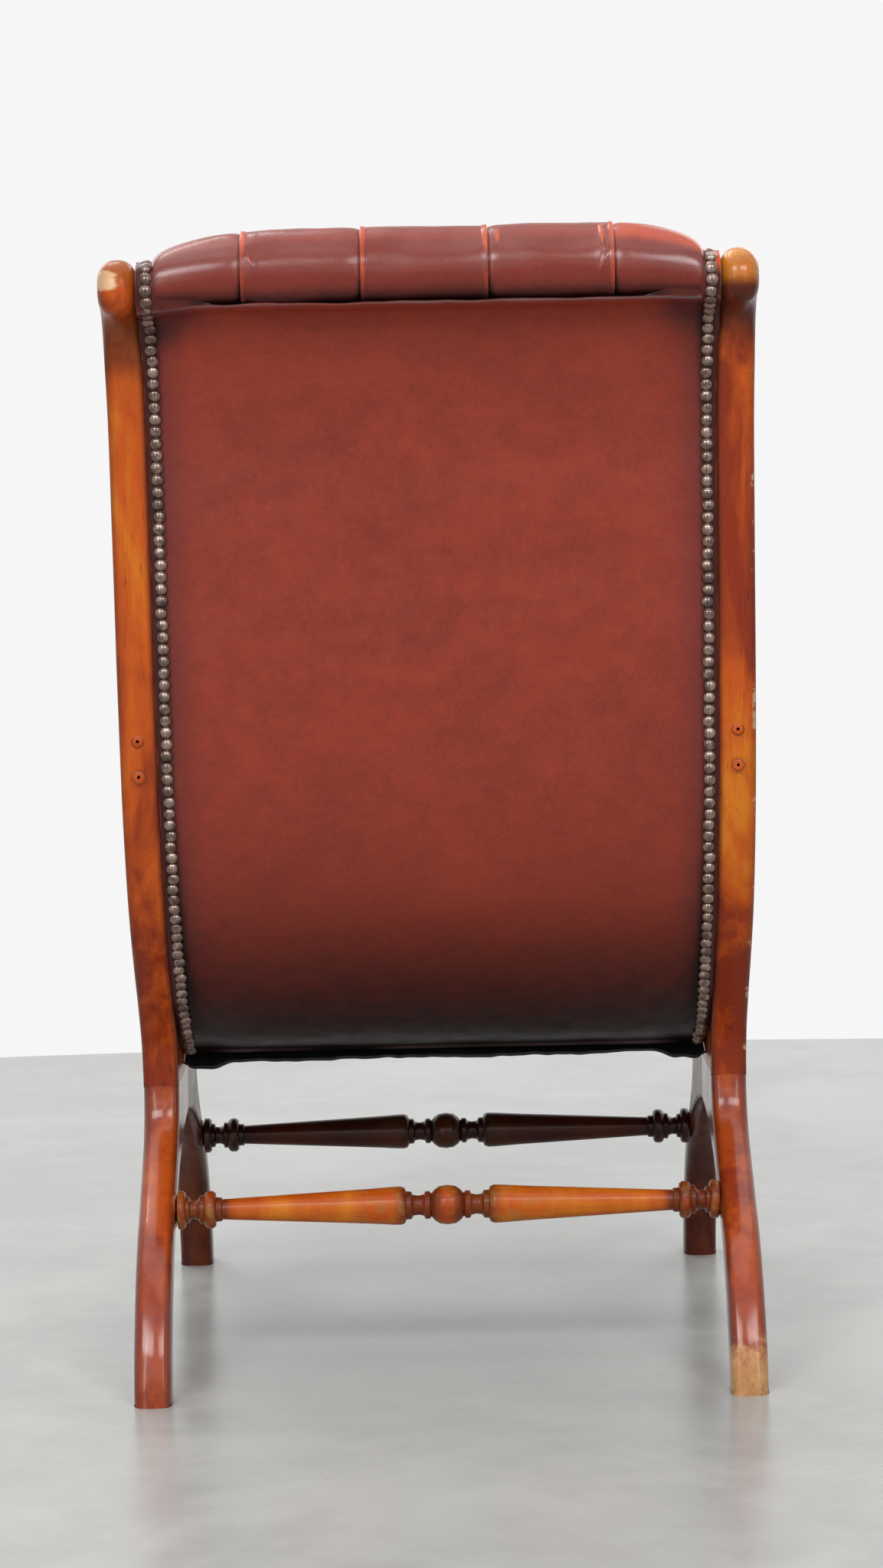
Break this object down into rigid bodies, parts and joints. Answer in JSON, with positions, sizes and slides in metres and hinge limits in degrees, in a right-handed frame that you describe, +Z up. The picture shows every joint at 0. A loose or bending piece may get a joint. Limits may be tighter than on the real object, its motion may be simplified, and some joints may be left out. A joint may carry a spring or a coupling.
{
  "type": "slipper chair",
  "caption": "Armless deep-buttoned slipper chair: nailed leather on scrolled side frames with arched legs and turned stretchers.",
  "frame": {"origin": "on the floor, midway along the chair's width and depth", "axes": "+Z up, -Y the way the chair faces, +X to the left of a person sitting in it"},
  "size_m": [0.53, 0.719, 0.9697],
  "materials": {
    "show_wood": "polished, reddish brown with a worn french polish",
    "turned_wood": "polished, orange brown",
    "plug_wood": "polished end grain",
    "inner_wood": "sawn, unpolished",
    "leather": "glossy oxblood leather, mottled and creased",
    "button_leather": "glossy oxblood leather",
    "nail_metal": "antiqued, dark bronze",
    "screw_steel": "plain",
    "webbing": "woven jute",
    "hessian": "woven jute",
    "foam": "soft foam padding",
    "dust_cloth": "plain black cloth"
  },
  "bodies": {
    "root": {"left_back_stile": "show_wood", "right_back_stile": "show_wood", "left_seat_rail": "show_wood", "right_seat_rail": "show_wood", "left_rear_leg": "show_wood", "right_rear_leg": "show_wood", "left_front_leg": "show_wood", "right_front_leg": "show_wood", "rear_stretcher": "turned_wood", "front_stretcher": "turned_wood", "leg_dowels": "inner_wood", "centre_dowels": "inner_wood", "lap_screws": "screw_steel", "screw_plugs": "plug_wood", "left_body_rail": "inner_wood", "right_body_rail": "inner_wood", "crest_rail": "inner_wood", "rear_tie_rail": "inner_wood", "front_bar": "inner_wood", "body_screws": "screw_steel", "back_webbing": "webbing", "seat_webbing": "webbing", "back_hessian": "hessian", "seat_hessian": "hessian", "back_foam_pad": "foam", "seat_foam_pad": "foam", "back_cover": "leather", "seat_cover": "leather", "back_buttons": "button_leather", "seat_buttons": "button_leather", "outside_back": "leather", "dust_cover": "dust_cloth", "left_rear_band": "leather", "right_rear_band": "leather", "left_front_band": "leather", "right_front_band": "leather", "left_rear_nails": "nail_metal", "right_rear_nails": "nail_metal", "left_front_nails": "nail_metal", "right_front_nails": "nail_metal"}
  },
  "joints": []
}
